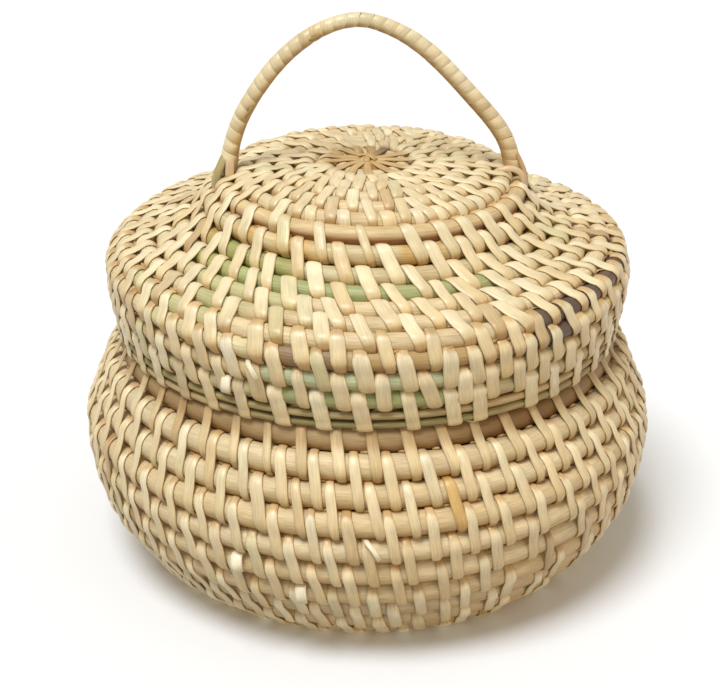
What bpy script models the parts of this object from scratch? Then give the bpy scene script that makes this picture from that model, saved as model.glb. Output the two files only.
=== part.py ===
"""Cane storage box: a round coiled pot with a lid that lifts off and an arched handle.

Pot and lid are each wound from cane. A cane starts beside a knot in the middle of the
base or the crown, runs round in one long spiral, and each new cane follows on where the
last one ends. Level hoops finish the edges: the seat that the lid rests on, the collar
inside the lid, the pot's mouth and the lid's rim. The binding strips that cover each coil
are counted in its thickness.

Units are metres and +Z is up. The origin is on the table, under the middle of the pot, and
the box is seen from the front, which is -Y.
"""

import math

import bmesh
import bpy
import numpy as np
from mathutils import Matrix, Vector

# Outer surface of the pot as (radius, height), from the middle of the base to the seat
POT_OUTLINE = [
    (0.0000, 0.0026),
    (0.0300, 0.0020),
    (0.0560, 0.0001),
    (0.0700, -0.0008),
    (0.0812, 0.0033),
    (0.0896, 0.0146),
    (0.0955, 0.0235),
    (0.0991, 0.0373),
    (0.0997, 0.0515),
    (0.0949, 0.0640),
    (0.0899, 0.0762),
    (0.0872, 0.0812),
    (0.0826, 0.0851),
    (0.0766, 0.0874),
]
POT_FIRST_ROW_LEVEL = 0.0738  # the lower edge of the seat hoop, on the outline

# Outer surface of the lid as (radius, height above the rim's edge), from the crown outwards
LID_OUTLINE = [
    (0.0000, 0.0578),
    (0.0292, 0.0578),
    (0.0467, 0.0548),
    (0.0547, 0.0501),
    (0.0597, 0.0426),
    (0.0700, 0.0375),
    (0.0824, 0.0334),
    (0.0886, 0.0295),
    (0.0900, 0.0218),
    (0.0887, 0.0109),
    (0.0871, 0.0000),
    (0.0858, -0.0080),
]

# Coils
POT_PITCH = 0.0089  # wanted spacing of the turns, which a whole number of turns then fits
LID_PITCH = 0.00687
POT_START = 0.0094  # from the axis to the middle of the first turn
LID_START = 0.0061
TURN_GAP = 0.0007  # left between neighbouring turns
BUTT_GAP = 0.0004  # left where one cane ends and the next begins
TAPER_TIP = 0.0006  # radius of a cane's shaved end
CLIMB_SHARE = 0.35  # part of a turn, at the back, in which a level row climbs to the next
LEVELLING_TURNS = 3.0  # turns over which a steady spiral becomes level rows
RIDGE_FOOT = 3  # the point of the lid's outline at the foot of the ridge, counted from 0
FOOT_CUT_DEPTH = 0.1  # share of the coil's thickness cut flat under the foot

# Seat, collar and mouth
CONTACT_GAP = 0.0003  # between pieces that touch
COLLAR_RADIUS = 0.0034
COLLAR_CLEARANCE = 0.0012  # between the collar and the narrowest turn of the lid
SEAT_RADIUS = 0.0044
SEAT_INSET = 0.0009  # how far the seat lies back from the pot's outline
MOUTH_HOOP_RADIUS = 0.0030
RIM_HOOPS = 2

# Start of each coil
KNOT_SPREAD = 0.0009  # how far the knot's ends stand out past its waist
STAR_STRIPS = 14
STAR_RADIUS = 0.0160
STAR_STRIP_WIDTH = 0.0024
STAR_THICKNESS = 0.0008

# Handle: (distance from the axis, height above the rim's edge), along the arch
HANDLE_PATH = [
    (-0.0450, 0.0655),
    (-0.0395, 0.0780),
    (-0.0294, 0.0917),
    (-0.0172, 0.1014),
    (-0.0045, 0.1054),
    (0.0072, 0.1027),
    (0.0195, 0.0949),
    (0.0332, 0.0808),
    (0.0457, 0.0651),
]
HANDLE_TURN = math.radians(3.0)  # the arch stands a little off the left-right line
WRAP_INNER_RADIUS = 0.00225
WRAP_THICKNESS = 0.00055
WRAP_LOOPS = 24
WRAP_LOOP_GAP = 0.0006
WRAP_STEPS = 8
LASHING_RADIUS = 0.0011
LASHING_RISE = 0.0100  # how far its two ends stand above the ridge coil's middle

# Fineness of the solids
POINTS_PER_TURN = 20
HALF_STEP = 0.5 / POINTS_PER_TURN  # canes meet halfway between two corners
COIL_SIDES = 1
HOOP_SIDES = 2
OUTLINE_STEPS = 24

# At the start of each turn a coil is at the back of the box
START_ANGLE = math.pi / 2

CREAM = (0.72, 0.55, 0.32)
STRAW = (0.66, 0.48, 0.25)
OCHRE = (0.52, 0.33, 0.14)
PALE_GREEN = (0.47, 0.50, 0.22)
OLIVE = (0.40, 0.37, 0.17)


class Outline:
    """A smooth wall: its outer side runs through a few (radius, height) points, and the coils
    lie in it side by side. It is measured along the line of their middles."""

    def __init__(self, points, coil_radius, lift=0.0, upward=1.0):
        outer = smooth_path([(r, z + lift) for r, z in points], OUTLINE_STEPS)
        step = np.gradient(outer, axis=0)
        step /= np.linalg.norm(step, axis=1)[:, None]
        self.upward = upward
        self.normals = np.stack([step[:, 1], -step[:, 0]], axis=1) * upward
        self.middles = outer - self.normals * coil_radius
        self.coil_radius = coil_radius
        steps = np.linalg.norm(np.diff(self.middles, axis=0), axis=1)
        self.lengths = np.concatenate([[0.0], np.cumsum(steps)])

    def read(self, table, length):
        return np.array([np.interp(length, self.lengths, table[:, i]) for i in (0, 1)])

    def middle(self, length, radius):
        """The middle of a coil of this radius whose outer side lies flush in the wall."""
        outward = self.read(self.normals, length)
        return self.read(self.middles, length) + outward * (self.coil_radius - radius)

    def length_at_radius(self, distance):
        """Where the outer side first reaches this distance from the axis."""
        outer = self.middles[:, 0] + self.normals[:, 0] * self.coil_radius
        return float(self.lengths[int(np.argmax(outer >= distance))])

    def length_at_height(self, height):
        """Where the line of middles, past its widest point, reaches this height."""
        widest = int(np.argmax(self.middles[:, 0]))
        heights = self.middles[widest:, 1] * self.upward
        return float(np.interp(height * self.upward, heights, self.lengths[widest:]))


def smooth_path(points, steps):
    """A Catmull-Rom curve through the points."""
    given = np.array(points, float)
    padded = np.vstack([2 * given[0] - given[1], given, 2 * given[-1] - given[-2]])
    found = []
    for i in range(1, len(padded) - 2):
        before, start, end, after = padded[i - 1 : i + 3]
        for t in np.arange(steps) / steps:
            found.append(
                0.5
                * (
                    2 * start
                    + (end - before) * t
                    + (2 * before - 5 * start + 4 * end - after) * t**2
                    + (3 * start - before - 3 * end + after) * t**3
                )
            )
    found.append(given[-1])
    return np.array(found)


class Coil:
    """A spiral on an outline. Row after row fills it from a start up to a level last edge."""

    def __init__(self, outline, pitch, start, last_edge):
        self.outline = outline
        self.start = start
        self.last_edge = last_edge
        self.last_turn = round((last_edge - start) / pitch)
        self.pitch = (last_edge - start) / self.last_turn
        self.end_turn = self.turn_at_tip()

    def edge(self, turn):
        """The outer edge of the coil. A steady spiral, which turns into level rows at last."""
        count = turn + 0.5
        nearest = math.floor(turn + 0.5)
        climb = np.clip((turn - nearest) / CLIMB_SHARE + 0.5, 0.0, 1.0)
        level_count = nearest + climb * climb * (3 - 2 * climb)
        share = (turn - self.last_turn + LEVELLING_TURNS + 0.5) / LEVELLING_TURNS
        share = float(np.clip(share, 0.0, 1.0))
        count = count + share * (level_count - count)
        return min(self.start + self.pitch * count, self.last_edge)

    def place(self, turn):
        """(middle of the row on the outline, radius of the coil) after so many turns."""
        outer, inner = self.edge(turn), self.edge(turn - 1)
        return (outer + inner) / 2, (outer - inner - TURN_GAP) / 2

    def turn_at_tip(self):
        count = (self.last_turn - 1) * POINTS_PER_TURN
        while self.place((count + 1) / POINTS_PER_TURN)[1] > TAPER_TIP:
            count += 1
        return count / POINTS_PER_TURN

    def middle(self, turn):
        """(distance from the axis, height) of the coil's middle."""
        length, radius = self.place(turn)
        return self.outline.middle(length, radius)

    def lowest(self):
        """The height of the coil's lowest point."""
        turns = np.arange(0.0, self.last_turn, 0.05)
        return min(self.middle(turn)[1] - self.place(turn)[1] for turn in turns)

    def nearest_turn(self, angle, near):
        """The turn count at which the coil passes this angle, nearest to another count."""
        part = (angle - START_ANGLE) / (2 * math.pi)
        return part + round(near - part)

    def corner(self, count):
        """(place, radius) of one corner of the coil, counted from its start."""
        turn = count / POINTS_PER_TURN
        distance, height = self.middle(turn)
        return around(distance, height, turn), self.place(turn)[1]

    def between(self, turn):
        """(place, radius) after so many turns, on the straight line between two corners."""
        count = math.floor(turn * POINTS_PER_TURN)
        share = turn * POINTS_PER_TURN - count
        (a, near), (b, far) = self.corner(count), self.corner(count + 1)
        return a.lerp(b, share), near + (far - near) * share

    def points(self, first, last):
        """Points and radii of one cane, from one turn count to another."""
        circumference = 2 * math.pi * self.middle(last)[0]
        end = last if last == self.end_turn else last - BUTT_GAP / circumference
        inner = math.floor(first * POINTS_PER_TURN + 1e-6) + 1
        outer = math.ceil(end * POINTS_PER_TURN - 1e-6)
        corners = [self.corner(count) for count in range(inner, outer)]
        return [self.between(first), *corners, self.between(end)]

    def hole(self):
        """How far the first turn stays clear of the axis, all round."""
        found = self.points(0.0, 1.5)
        free = []
        for (a, radius), (b, _) in zip(found, found[1:]):
            for share in np.linspace(0.0, 1.0, 9):
                place = a.lerp(b, share)
                free.append(math.hypot(place.x, place.y) - radius)
        return min(free)


def around(distance, height, turn):
    angle = START_ANGLE + 2 * math.pi * turn
    return Vector((distance * math.cos(angle), distance * math.sin(angle), height))


def new_collection(name):
    collection = bpy.data.collections.new(name)
    bpy.context.scene.collection.children.link(collection)
    return collection


def cane_material(name, colour, roughness=0.45):
    material = bpy.data.materials.new(name)
    material.use_nodes = True
    shader = material.node_tree.nodes["Principled BSDF"]
    shader.inputs["Base Color"].default_value = (*colour, 1.0)
    shader.inputs["Roughness"].default_value = roughness
    shader.inputs["Metallic"].default_value = 0.0
    material.diffuse_color = (*colour, 1.0)
    return material


def add_object(name, data, material, collection):
    made = bpy.data.objects.new(name, data)
    collection.objects.link(made)
    if material:
        data.materials.append(material)
    return made


def make_helper(made):
    """A cutter or guide, which isn't part of the box."""
    made.hide_render = True
    made.display_type = "WIRE"
    return made


def tube(name, found, sides, material, collection, twist="Z_UP"):
    """A round tube along points, each with its own radius."""
    curve = bpy.data.curves.new(name, "CURVE")
    curve.dimensions = "3D"
    curve.twist_mode = twist
    curve.bevel_depth = 1.0
    curve.bevel_resolution = sides
    curve.use_fill_caps = True
    spline = curve.splines.new("POLY")
    spline.points.add(len(found) - 1)
    for point, (place, radius) in zip(spline.points, found):
        point.co = (*place, 1.0)
        point.radius = radius
    return add_object(name, curve, material, collection)


def as_mesh(made, collection):
    """The same piece as one welded mesh, which can be cut."""
    graph = bpy.context.evaluated_depsgraph_get()
    mesh = bpy.data.meshes.new_from_object(made.evaluated_get(graph))
    name = made.name
    placed = made.matrix_world.copy()
    bpy.data.objects.remove(made)
    work = bmesh.new()
    work.from_mesh(mesh)
    bmesh.ops.remove_doubles(work, verts=work.verts, dist=1e-6)
    bmesh.ops.recalc_face_normals(work, faces=work.faces)
    work.to_mesh(mesh)
    work.free()
    mesh.shade_smooth()
    mesh.set_sharp_from_angle(angle=math.radians(50))
    meshed = bpy.data.objects.new(name, mesh)
    meshed.matrix_world = placed
    collection.objects.link(meshed)
    return meshed


def cut(made, cutter):
    modifier = made.modifiers.new("Cut by " + cutter.name, "BOOLEAN")
    modifier.operation = "DIFFERENCE"
    modifier.solver = "EXACT"
    modifier.object = cutter


def least_gap(found):
    """The least distance between two stretches of the same coil, surface to surface."""
    places, radii = [], []
    for (a, near), (b, far) in zip(found, found[1:]):
        count = max(2, int((b - a).length / 0.002))
        for i in range(count):
            places.append(a.lerp(b, i / count))
            radii.append(near + (far - near) * i / count)
    places, radii = np.array(places), np.array(radii)
    steps = np.linalg.norm(np.diff(places, axis=0), axis=1)
    along = np.concatenate([[0.0], np.cumsum(steps)])
    least = math.inf
    for i in range(len(places)):
        other = along > along[i] + 5 * radii[i]
        if other.any():
            apart = np.linalg.norm(places[other] - places[i], axis=1)
            least = min(least, float((apart - radii[other] - radii[i]).min()))
    return least


def cane(name, coil, first, last, material, collection):
    """One length of cane in the coil."""
    found = coil.points(first, last)
    gap = least_gap(found)
    if gap < math.inf:
        print(f"{name}: least gap to itself {gap * 1000:.2f} mm")
    return tube(name, found, COIL_SIDES, material, collection)


def hoop(name, distance, height, radius, material, collection):
    """A level hoop of cane whose two ends meet at the back, halfway between two corners."""
    corners = [around(distance, height, i / POINTS_PER_TURN) for i in range(POINTS_PER_TURN + 2)]
    share = 0.5 - BUTT_GAP / (corners[1] - corners[0]).length
    ends = [corners[0].lerp(corners[1], 0.5), corners[0].lerp(corners[1], share)]
    path = [ends[0], *corners[1 : POINTS_PER_TURN + 1], ends[1]]
    return tube(name, [(place, radius) for place in path], HOOP_SIDES, material, collection)


def turned(name, profile, steps, material, collection):
    """A turned piece: its profile runs down the outer side, top to bottom."""
    mesh = bpy.data.meshes.new(name)
    work = bmesh.new()
    points = [work.verts.new((distance, 0.0, height)) for distance, height in profile]
    for a, b in zip(points, points[1:]):
        work.edges.new((a, b))
    work.to_mesh(mesh)
    work.free()
    made = add_object(name, mesh, material, collection)
    screw = made.modifiers.new("Turn", "SCREW")
    screw.steps = steps
    screw.render_steps = steps
    screw.use_merge_vertices = True
    screw.merge_threshold = 1e-5
    screw.use_smooth_shade = True
    return made


def start_knot(name, hole, top, bottom, material, collection):
    """The knot that fills the hole in the middle of the coil, thicker at its two ends."""
    waist = hole - CONTACT_GAP - KNOT_SPREAD
    shoulder = (top - bottom) / 4
    profile = [
        (0.0, top),
        (waist * 0.6, top - 0.0001),
        (waist + KNOT_SPREAD, top - shoulder * 0.6),
        (waist, top - shoulder * 1.4),
        (waist, bottom + shoulder * 1.4),
        (waist + KNOT_SPREAD, bottom + shoulder * 0.6),
        (waist * 0.6, bottom + 0.0001),
        (0.0, bottom),
    ]
    return turned(name, profile, 16, material, collection)


def star(name, height, material, collection):
    """Flat strips that run out from the middle over the first turns, like a sun's rays."""
    curve = bpy.data.curves.new(name, "CURVE")
    curve.dimensions = "2D"
    curve.fill_mode = "BOTH"
    curve.extrude = STAR_THICKNESS / 2
    half = STAR_STRIP_WIDTH / 2
    corner = half / math.sin(math.pi / STAR_STRIPS)
    outline = []
    for strip in range(STAR_STRIPS):
        angle = 2 * math.pi * strip / STAR_STRIPS
        turn = Matrix.Rotation(angle, 3, "Z")
        outline.append(turn @ Vector((STAR_RADIUS, -half, 0)))
        outline.append(turn @ Vector((STAR_RADIUS, half, 0)))
        between = Matrix.Rotation(angle + math.pi / STAR_STRIPS, 3, "Z")
        outline.append(between @ Vector((corner, 0, 0)))
    spline = curve.splines.new("POLY")
    spline.points.add(len(outline) - 1)
    for point, place in zip(spline.points, outline):
        point.co = (*place, 1.0)
    spline.use_cyclic_u = True
    made = add_object(name, curve, material, collection)
    made.location.z = height
    return made


def handle_frame(path):
    """The arch as points in the world, on the upright plane through the axis."""
    turn = Matrix.Rotation(HANDLE_TURN, 3, "Z")
    return [turn @ Vector((distance, 0.0, height)) for distance, height in path]


def path_length(points):
    return sum((b - a).length for a, b in zip(points, points[1:]))


def wrap(name, arch, material, collection, guides):
    """A flat strip wound round the handle: a turned helix, thickened and bent to the arch."""
    guide_curve = bpy.data.curves.new(name + "_guide", "CURVE")
    guide_curve.dimensions = "3D"
    spline = guide_curve.splines.new("POLY")
    spline.points.add(len(arch) - 1)
    for point, place in zip(spline.points, arch):
        point.co = (*place, 1.0)
    guide = make_helper(add_object(name + "_guide", guide_curve, None, guides))
    pitch = path_length(arch) / (WRAP_LOOPS + 1)
    mesh = bpy.data.meshes.new(name)
    work = bmesh.new()
    lower = work.verts.new((WRAP_INNER_RADIUS, 0.0, 0.0))
    upper = work.verts.new((WRAP_INNER_RADIUS, 0.0, pitch - WRAP_LOOP_GAP))
    work.edges.new((upper, lower))
    work.to_mesh(mesh)
    work.free()
    made = add_object(name, mesh, material, collection)
    screw = made.modifiers.new("Wind", "SCREW")
    screw.steps = WRAP_STEPS
    screw.render_steps = WRAP_STEPS
    screw.iterations = WRAP_LOOPS
    screw.screw_offset = pitch
    screw.use_merge_vertices = False
    solidify = made.modifiers.new("Thicken", "SOLIDIFY")
    solidify.thickness = WRAP_THICKNESS
    solidify.offset = 1.0
    bend = made.modifiers.new("Bend", "CURVE")
    bend.object = guide
    bend.deform_axis = "POS_Z"
    print(f"{name}: least gap to itself {loop_gap(made) * 1000:.2f} mm")
    return made


def loop_gap(made):
    """The least distance from the upper edge of one loop to the lower edge of the next."""
    graph = bpy.context.evaluated_depsgraph_get()
    mesh = made.evaluated_get(graph).data
    points = [vertex.co.copy() for vertex in mesh.vertices]
    lower, upper = points[0::2], points[1::2]
    return min((b - a).length for a, b in zip(upper, lower[WRAP_STEPS:]))


def lashing_path(middle, up, coil_radius, rod_radius, extra):
    """A hairpin that goes round under the ridge coil and up both sides of the rod."""
    beside_rod = rod_radius + CONTACT_GAP + LASHING_RADIUS
    beside_coil = coil_radius + CONTACT_GAP + LASHING_RADIUS
    side = up.cross(Vector((0, 1, 0))).normalized()
    half = [
        (beside_rod, LASHING_RISE),
        (beside_rod, LASHING_RISE * 0.75),
        (beside_rod + (beside_coil - beside_rod) * 0.6, beside_coil * 0.75),
    ]
    for step in range(5):
        angle = math.pi / 2 * step / 4
        half.append((beside_coil * math.cos(angle), -beside_coil * math.sin(angle)))
    path = half + [(-across, rise) for across, rise in reversed(half[:-1])]
    return [(middle + side * across + up * rise, LASHING_RADIUS + extra) for across, rise in path]


def build_pot(box, cutters, pot):
    cream = cane_material("pot_cane_cream", CREAM)
    straw = cane_material("pot_cane_straw", STRAW)
    coil = pot["coil"]
    lengths = [
        ("pot_base_cane", 0.0, 4 + HALF_STEP, straw),
        ("pot_foot_cane", 4 + HALF_STEP, 7 + HALF_STEP, cream),
        ("pot_lower_cane", 7 + HALF_STEP, 10 + HALF_STEP, straw),
        ("pot_belly_cane", 10 + HALF_STEP, 13 + HALF_STEP, cream),
        ("pot_upper_cane", 13 + HALF_STEP, coil.end_turn, straw),
    ]
    for name, first, last, material in lengths:
        made = cane(name, coil, first, last, material, box)
        if name == "pot_foot_cane":
            cut_foot(as_mesh(made, box), cutters)
    hoop("pot_seat_hoop", *pot["seat"], cream, box)
    hoop("pot_collar_hoop", *pot["collar"], straw, box)
    hoop("pot_mouth_hoop", *pot["mouth"], cream, box)
    outer, radius = coil.middle(0.0), coil.place(0.0)[1]
    floor = outer[1] - radius
    start_knot("pot_start_knot", coil.hole(), floor + 2 * radius, floor, cream, box)
    under = floor - CONTACT_GAP - STAR_THICKNESS / 2
    star("pot_start_star", under, cream, box)


def cut_foot(made, cutters):
    """The turns that the pot stands on are worn flat."""
    size = 0.3
    mesh = bpy.data.meshes.new("foot_cutter")
    work = bmesh.new()
    bmesh.ops.create_cube(work, size=size)
    bmesh.ops.translate(work, verts=work.verts, vec=(0, 0, -size / 2))
    work.to_mesh(mesh)
    work.free()
    cut(made, make_helper(add_object("foot_cutter", mesh, None, cutters)))


def build_lid(box, cutters, lid):
    cream = cane_material("lid_cane_cream", CREAM)
    ochre = cane_material("lid_cane_ochre", OCHRE)
    green = cane_material("lid_cane_green", PALE_GREEN)
    olive = cane_material("lid_rim_olive", OLIVE, roughness=0.5)
    coil = lid["coil"]
    lashings = [build_lashing(box, cutters, lid, side, cream) for side in (-1, 1)]
    ridge = lid["ridge_turn"] + HALF_STEP
    lengths = [
        ("lid_crown_cane", 0.0, ridge, cream),
        ("lid_ridge_cane", ridge, ridge + 1, ochre),
        ("lid_shoulder_cane", ridge + 1, ridge + 4, green),
        ("lid_upper_side_cane", ridge + 4, ridge + 7, cream),
        ("lid_lower_side_cane", ridge + 7, coil.end_turn, green),
    ]
    for name, first, last, material in lengths:
        made = cane(name, coil, first, last, material, box)
        if name in ("lid_crown_cane", "lid_shoulder_cane"):
            meshed = as_mesh(made, box)
            for cutter in lashings:
                cut(meshed, cutter)
    for count, (distance, height) in enumerate(lid["rim"]):
        name = ("lid_rim_upper_hoop", "lid_rim_lower_hoop")[count]
        hoop(name, distance, height, lid["rim_radius"], olive, box)
    outer, radius = coil.middle(0.0), coil.place(0.0)[1]
    crown = outer[1] + radius
    start_knot("lid_start_knot", coil.hole(), crown, crown - 2 * radius, cream, box)
    star("lid_start_star", crown + CONTACT_GAP + STAR_THICKNESS / 2, cream, box)


def rod_radius():
    return WRAP_INNER_RADIUS * math.cos(math.pi / WRAP_STEPS) - CONTACT_GAP


def handle_end(lid, side):
    """(ridge coil's middle under this end of the handle, direction up the rod)."""
    coil = lid["coil"]
    angle = HANDLE_TURN + (0 if side > 0 else math.pi)
    middle, radius = coil.between(coil.nearest_turn(angle, lid["ridge_turn"] + 0.5))
    nearest = lid["handle"][-1 if side > 0 else 0]
    return middle, (nearest - middle).normalized(), radius


def build_lashing(box, cutters, lid, side, material):
    """Makes the lashing at one end of the handle, and returns the cutter that makes its room."""
    middle, up, radius = handle_end(lid, side)
    name = "handle_left_lashing" if side < 0 else "handle_right_lashing"
    path = lashing_path(middle, up, radius, rod_radius(), 0.0)
    tube(name, path, HOOP_SIDES, material, box, "MINIMUM")
    room = lashing_path(middle, up, radius, rod_radius(), CONTACT_GAP)
    cutter = tube(name + "_room", room, HOOP_SIDES, None, cutters, "MINIMUM")
    return make_helper(as_mesh(cutter, cutters))


def build_handle(box, cutters, lid):
    cream = cane_material("handle_cane", STRAW)
    strip = cane_material("handle_strip", CREAM)
    ends = []
    for side in (-1, 1):
        middle, up, radius = handle_end(lid, side)
        ends.append((middle + up * (radius + CONTACT_GAP), middle + up * (LASHING_RISE + 0.0006)))
    path = [ends[0][0], *lid["handle"], ends[1][0]]
    rod = [Vector(place) for place in smooth_path(path, 3)]
    found = [(place, rod_radius()) for place in rod]
    tube("handle_rod", found, HOOP_SIDES, cream, box, "MINIMUM")
    bare = [(ends[i][1] - ends[i][0]).length for i in (0, 1)]
    fine = [Vector(place) for place in smooth_path(path, 12)]
    wrap("handle_wrap", trimmed(fine, bare[0], bare[1]), strip, box, cutters)


def trimmed(points, from_start, from_end):
    """The path without so much of its start and its end."""
    total = path_length(points)
    lengths = np.cumsum([0.0] + [(b - a).length for a, b in zip(points, points[1:])])
    table = np.array(points)
    wanted = np.linspace(from_start, total - from_end, len(points))
    columns = [np.interp(wanted, lengths, table[:, i]) for i in range(3)]
    return [Vector(place) for place in zip(*columns)]


def plan_pot():
    """Where the pot's coil and hoops lie. Its foot is on the ground after its cut."""
    radius = (POT_PITCH - TURN_GAP) / 2
    loose = Outline(POT_OUTLINE, radius)
    seat_edge = loose.length_at_height(POT_FIRST_ROW_LEVEL)
    sunk = Coil(loose, POT_PITCH, POT_START, seat_edge).lowest()
    outline = Outline(POT_OUTLINE, radius, -sunk - FOOT_CUT_DEPTH * 2 * radius)
    coil = Coil(outline, POT_PITCH, POT_START, seat_edge)
    seat_place = seat_edge - TURN_GAP / 2 + CONTACT_GAP + SEAT_RADIUS
    seat = outline.middle(seat_place, SEAT_RADIUS + SEAT_INSET)
    return {"coil": coil, "seat": (*seat, SEAT_RADIUS)}


def plan_lid(seat):
    """Where the lid's coil, rim and handle lie. The lower rim hoop rests on the seat."""
    radius = (LID_PITCH - TURN_GAP) / 2
    rim_radius = (LID_PITCH / RIM_HOOPS - TURN_GAP) / 2
    loose = Outline(LID_OUTLINE, radius, upward=-1.0)
    rim_edge = loose.length_at_height(0.0)
    places = [rim_edge - LID_PITCH * (1 - (i + 0.5) / RIM_HOOPS) for i in range(RIM_HOOPS)]
    low = loose.middle(places[-1], rim_radius)
    reach = seat[2] + rim_radius + CONTACT_GAP
    lift = seat[1] + math.sqrt(reach**2 - (low[0] - seat[0]) ** 2) - low[1]
    outline = Outline(LID_OUTLINE, radius, lift, upward=-1.0)
    coil = Coil(outline, LID_PITCH, LID_START, rim_edge - LID_PITCH)
    ridge_edge = outline.length_at_radius(LID_OUTLINE[RIDGE_FOOT][0])
    return {
        "coil": coil,
        "rim": [outline.middle(place, rim_radius) for place in places],
        "rim_radius": rim_radius,
        "ridge_turn": round((ridge_edge - coil.start) / coil.pitch) - 1,
        "handle": handle_frame([(distance, height + lift) for distance, height in HANDLE_PATH]),
    }


def plan_collar(seat, lid):
    """The collar and the mouth stand on the seat, just inside the narrowest turn of the lid."""
    distance, height, radius = seat
    coil = lid["coil"]
    low_turn, low_radius = coil.middle(coil.last_turn - 0.5), coil.place(coil.last_turn - 0.5)[1]
    inner_sides = [place[0] - lid["rim_radius"] for place in lid["rim"]]
    narrowest = min(low_turn[0] - low_radius, *inner_sides)
    collar = narrowest - COLLAR_CLEARANCE - COLLAR_RADIUS
    apart = radius + COLLAR_RADIUS + CONTACT_GAP
    collar_height = height + math.sqrt(max(apart**2 - (distance - collar) ** 2, 0.0))
    mouth = collar + COLLAR_RADIUS - MOUTH_HOOP_RADIUS
    rise = COLLAR_RADIUS + MOUTH_HOOP_RADIUS + CONTACT_GAP
    mouth_height = collar_height + math.sqrt(rise**2 - (mouth - collar) ** 2)
    return (collar, collar_height, COLLAR_RADIUS), (mouth, mouth_height, MOUTH_HOOP_RADIUS)


def main():
    for made in list(bpy.data.objects):
        bpy.data.objects.remove(made)
    box = new_collection("cane_storage_box")
    cutters = new_collection("cutters")
    pot = plan_pot()
    lid = plan_lid(pot["seat"])
    pot["collar"], pot["mouth"] = plan_collar(pot["seat"], lid)
    build_pot(box, cutters, pot)
    build_lid(box, cutters, lid)
    build_handle(box, cutters, lid)


main()
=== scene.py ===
"""Looks of the cane storage box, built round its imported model.

The rows of the model's coils come back here as fine rods, and every binding strip is swept
along its own path: out of the gap above a row, over that row and the next one, and into
the gap below. A second set of strips closes the loops on the inside.

Units are metres and +Z is up. The box is seen from the front, which is -Y. Turns are counted
along each coil from its start, counterclockwise from above, and a whole number of turns is
at the back.
"""

import math

import bpy
import numpy as np
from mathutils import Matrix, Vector


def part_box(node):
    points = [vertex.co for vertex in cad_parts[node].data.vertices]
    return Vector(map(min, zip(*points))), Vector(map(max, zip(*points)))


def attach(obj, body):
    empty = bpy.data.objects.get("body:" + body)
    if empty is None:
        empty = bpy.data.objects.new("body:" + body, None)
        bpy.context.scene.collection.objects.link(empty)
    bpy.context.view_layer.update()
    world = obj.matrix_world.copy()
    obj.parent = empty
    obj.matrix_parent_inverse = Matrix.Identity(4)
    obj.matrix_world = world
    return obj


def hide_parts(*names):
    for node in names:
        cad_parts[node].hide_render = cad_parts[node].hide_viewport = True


# Outer surfaces as (distance from the axis, height), and coils, as in the model
POT_OUTLINE = [
    (0.0000, 0.0026), (0.0300, 0.0020), (0.0560, 0.0001), (0.0700, -0.0008), (0.0812, 0.0033),
    (0.0896, 0.0146), (0.0955, 0.0235), (0.0991, 0.0373), (0.0997, 0.0515), (0.0949, 0.0640),
    (0.0899, 0.0762), (0.0872, 0.0812), (0.0826, 0.0851), (0.0766, 0.0874),
]
LID_OUTLINE = [
    (0.0000, 0.0578), (0.0292, 0.0578), (0.0467, 0.0548), (0.0547, 0.0501), (0.0597, 0.0426),
    (0.0700, 0.0375), (0.0824, 0.0334), (0.0886, 0.0295), (0.0900, 0.0218), (0.0887, 0.0109),
    (0.0871, 0.0000), (0.0858, -0.0080),
]
POT_PITCH = 0.0089
LID_PITCH = 0.00687
POT_START = 0.0094
LID_START = 0.0061
POT_FIRST_ROW_LEVEL = 0.0738
TURN_GAP = 0.0007
CLIMB_SHARE = 0.35
LEVELLING_TURNS = 3.0
TAPER_TIP = 0.0006
RIDGE_FOOT = 3
OUTLINE_STEPS = 24
START_ANGLE = math.pi / 2

# How the rows look: rods that leave room between them for the strips
STRIP_THICKNESS = 0.0008
ROD_SWELL = 0.00028  # rows touch: a rod is so much thicker than the model's coil
STRIP_STAND = STRIP_THICKNESS + ROD_SWELL  # strips stand so far out from the coil's radius
MERGED_ROWS = 0.0050  # rows with less between their middles are one, where a coil's end is shaved
SEAT_SHADOW = 0.0012  # the seat lies so much further back, in the lid's shadow
SEAT_SWELL = 0.0005  # it is so much thicker than the model's hoop, and as much lower
ROD_SIDES = 16
ROD_POINTS_PER_TURN = 96
GROOVES = 0.02  # depth, as a share of the rod's radius
RIM_GROOVES = 0.05
GROOVE_POINTS = 9  # they change after about so many points
TUCK = math.radians(96)  # how far round the last rod a strip runs into its gap
BRIDGE_DIP = 0.00035  # how far a strip sinks between its two rows
OUTER_STEPS = (5, 2)  # points of a strip round a rod, and between two rods
INNER_STEPS = (3, 1)
SQUEEZE = 0.22  # share by which a strip gets narrower in its gaps
SQUEEZE_START = 0.72  # from a strip's middle, in spans between its rods
SQUEEZE_BLEND = 0.35
GROUND = 0.0001  # strips under the foot are worn flat, just above the table

# Stitches: (turn, spacing along the row), and (turn, width)
POT_SPACING = [
    (1, 0.0085), (4, 0.0098), (8, 0.0116), (11, 0.0126), (12.5, 0.0122), (14, 0.0110),
    (16, 0.0105),
]
LID_SPACING = [
    (0, 0.0080), (4.5, 0.0083), (6, 0.0110), (8, 0.0124), (11, 0.0123), (13, 0.0121), (16, 0.0120),
]
POT_WIDTH = [(0.0, 0.0034), (6.0, 0.0040), (11.0, 0.0038), (16.0, 0.0036)]
LID_WIDTH = [(0.0, 0.0036), (5.5, 0.0040), (6.0, 0.0044), (9.0, 0.0046), (11.0, 0.0049), (16.0, 0.0048)]
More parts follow.
